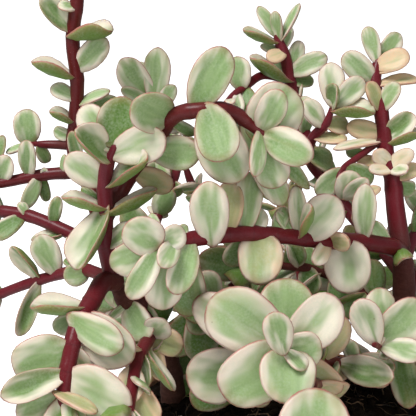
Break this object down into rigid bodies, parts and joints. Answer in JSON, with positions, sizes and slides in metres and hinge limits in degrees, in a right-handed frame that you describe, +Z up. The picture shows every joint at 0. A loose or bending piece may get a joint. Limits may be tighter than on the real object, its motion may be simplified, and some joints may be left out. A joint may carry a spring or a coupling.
{
  "type": "potted elephant bush",
  "caption": "Small potted succulent shrub with fleshy cream-edged green leaves on reddish-brown stems, heaped dark soil and a plain round clay pot.",
  "frame": {"origin": "centre of the pot's flat underside, on the surface that the pot stands on", "axes": "+Z up along the pot's axis; -Y towards the plant's front, where the arching shoot and the front rosette face; +X to the right seen from the front"},
  "size_m": [0.2264, 0.1914, 0.2512],
  "materials": {
    "clay": "matte unglazed terracotta",
    "soil": "rough fibrous peat",
    "bark": "thin dull bark",
    "stem": "smooth crimson-brown skin with node rings",
    "foliage": "waxy satin leaf skin, soft-edged green centres on cream with a thin pink-red edge line",
    "perlite": "matte white grit"
  },
  "bodies": {
    "root": {"pot": "clay", "soil": "soil", "left_trunk": "bark", "right_trunk": "bark", "back_trunk": "bark", "centre_shoot": "foliage", "front_drooping_shoot": "foliage", "lower_left_shoot": "foliage", "arching_shoot": "foliage", "long_level_shoot": "foliage", "tall_right_shoot": "foliage", "far_right_shoot": "foliage", "back_tall_shoot": "foliage", "back_side_shoot": "foliage", "middle_shoot": "foliage", "thin_right_shoot": "foliage", "left_lowest_shoot": "foliage", "tall_left_shoot": "foliage", "left_top_shoot": "foliage", "left_upper_shoot": "foliage", "left_lower_shoot": "foliage", "back_left_shoot": "foliage", "front_rosette_shoot": "foliage", "right_rosette_shoot": "foliage", "inner_shoot": "foliage", "front_spilling_shoot": "foliage", "low_front_shoot": "foliage", "back_upright_shoot": "foliage", "back_left_upright": "foliage", "back_right_upright": "foliage", "back_middle_shoot": "foliage", "back_left_spill": "foliage", "back_centre_spill": "foliage", "back_right_spill": "foliage", "back_low_spill": "foliage", "left_back_spill": "foliage", "right_low_spill": "foliage", "right_front_spill": "foliage"}
  },
  "joints": []
}
